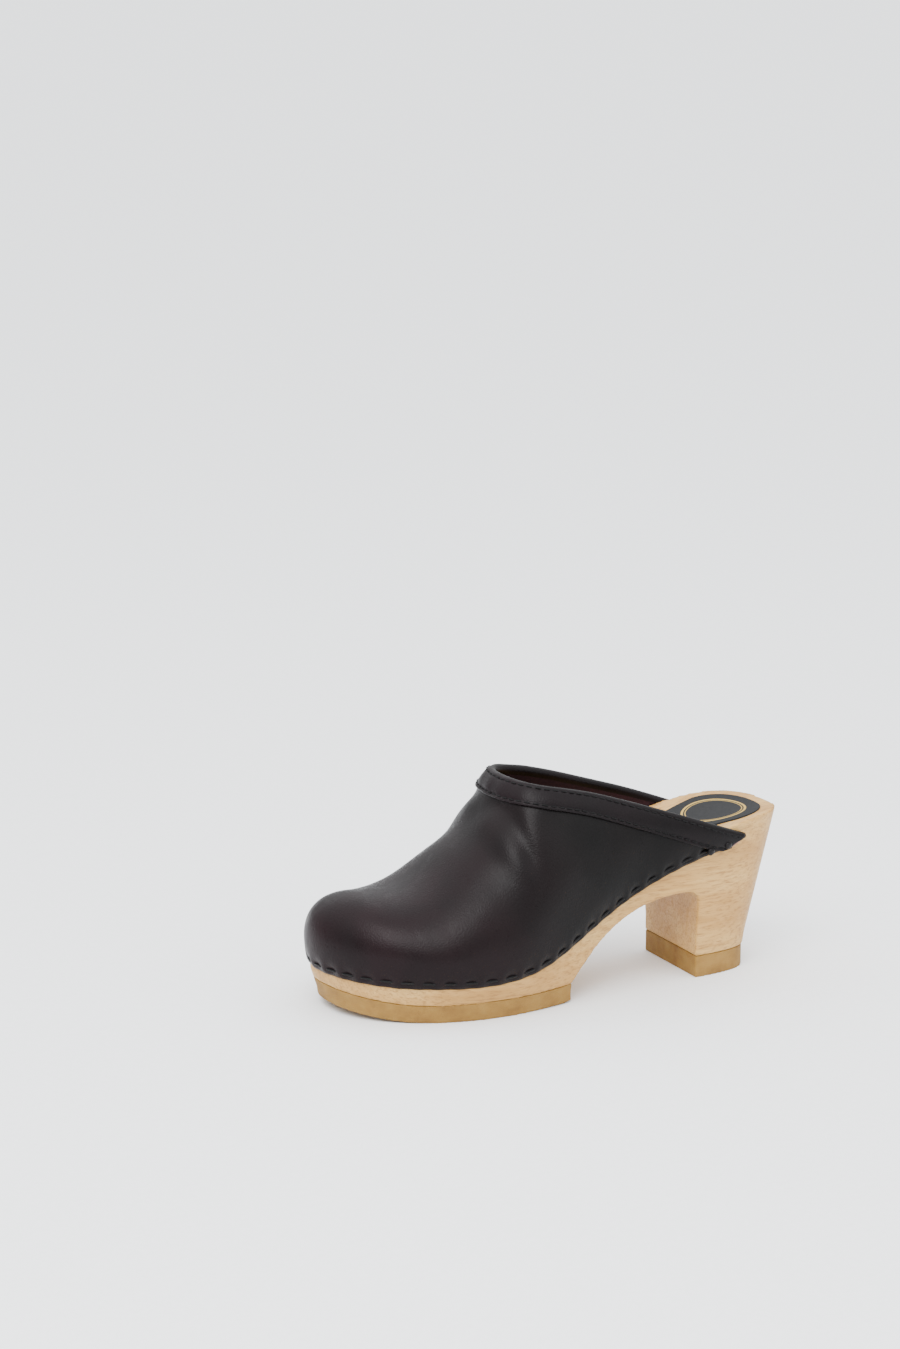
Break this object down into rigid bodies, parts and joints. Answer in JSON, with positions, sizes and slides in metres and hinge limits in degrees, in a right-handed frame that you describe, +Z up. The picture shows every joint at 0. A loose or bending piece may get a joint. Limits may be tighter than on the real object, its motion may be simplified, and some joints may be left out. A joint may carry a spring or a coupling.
{
  "type": "wooden clog",
  "caption": "Closed-toe, open-back leather clog on a carved wooden sole with a high block heel, stapled upper, stitched collar band and gum rubber treads.",
  "frame": {"origin": "middle of the shoe's box, on the ground", "axes": "+X from toe to heel, +Y towards the inner side of this left shoe, +Z up"},
  "size_m": [0.2484, 0.0987, 0.1102],
  "materials": {
    "pale_wood": "sanded pale alder with a thin matt lacquer",
    "gum_rubber": "tan gum rubber, cut edge slightly rough",
    "dark_leather": "smooth aubergine-black waxed leather",
    "trim_leather": "smooth aubergine-black leather folded over the collar",
    "stiffener_board": "fibre stiffener board, hidden in the toe",
    "label_leather": "thin charcoal leather with a printed ring",
    "black_wire": "black lacquered staple wire",
    "black_nail": "black lacquered nail",
    "black_thread": "waxed black polyester thread",
    "steel_nail": "bright wire nail"
  },
  "bodies": {
    "root": {"wood_sole": "pale_wood", "rubber_outsole": "gum_rubber", "heel_lift": "gum_rubber", "leather_upper": "dark_leather", "collar_trim": "trim_leather", "toe_stiffener": "stiffener_board", "heel_label": "label_leather", "staples_toe": "black_wire", "staples_outer_side": "black_wire", "staples_inner_side": "black_wire", "trim_nails": "black_nail", "trim_thread_low_row": "black_thread", "trim_thread_high_row": "black_thread", "heel_lift_nails": "steel_nail", "outsole_tacks": "steel_nail"}
  },
  "joints": []
}
